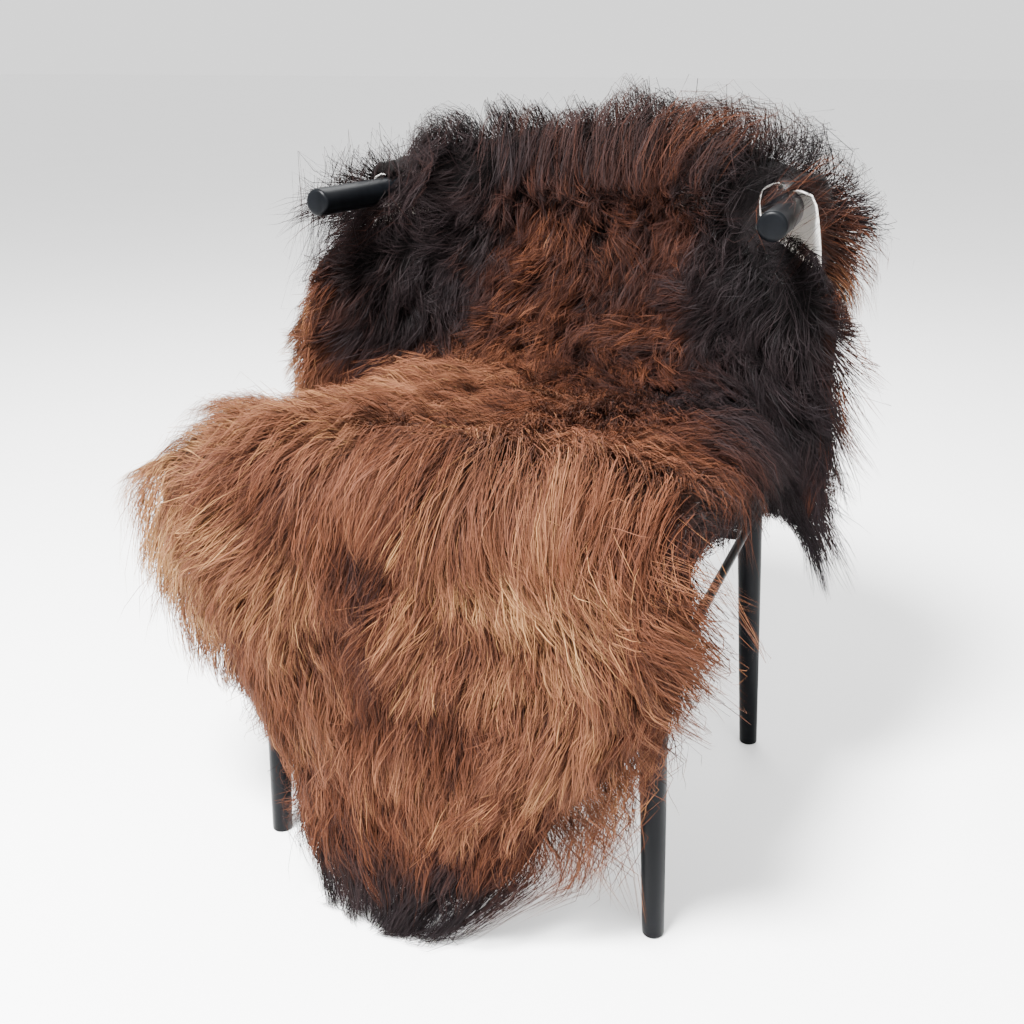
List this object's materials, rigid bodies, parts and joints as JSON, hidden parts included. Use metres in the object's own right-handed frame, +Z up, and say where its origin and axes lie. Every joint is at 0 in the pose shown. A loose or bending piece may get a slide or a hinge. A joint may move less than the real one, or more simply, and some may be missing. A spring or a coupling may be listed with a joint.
{
  "type": "sheepskin rug draped over a chair",
  "caption": "Long-haired sheepskin rug draped over the crest, seat and front of a slim wooden chair with a round bow back and short stub arms.",
  "frame": {"origin": "on the floor, under the centre of the bounding box of chair and draped rug", "axes": "+X to the sitter's left, +Y to the back of the chair, +Z up"},
  "size_m": [0.7632, 0.6452, 0.8149],
  "materials": {
    "fleece": "long-haired sheep's wool, rust to black-brown, unshorn",
    "hide_skin": "tanned flesh side and cut edge, off-white suede",
    "black_wood": "satin black lacquer"
  },
  "bodies": {
    "root": {"bow_rail": "black_wood", "crest_board": "black_wood", "leg_front_left": "black_wood", "leg_front_right": "black_wood", "leg_rear_left": "black_wood", "leg_rear_right": "black_wood", "locks_01": "fleece", "locks_02": "fleece", "locks_03": "fleece", "locks_04": "fleece", "locks_05": "fleece", "locks_06": "fleece", "locks_07": "fleece", "locks_08": "fleece", "locks_09": "fleece", "locks_10": "fleece", "locks_11": "fleece", "post_inner_left": "black_wood", "post_inner_right": "black_wood", "post_outer_left": "black_wood", "post_outer_right": "black_wood", "rear_rod": "black_wood", "seat": "black_wood", "sheepskin": "fleece", "side_rod_left": "black_wood", "side_rod_right": "black_wood"}
  },
  "joints": []
}
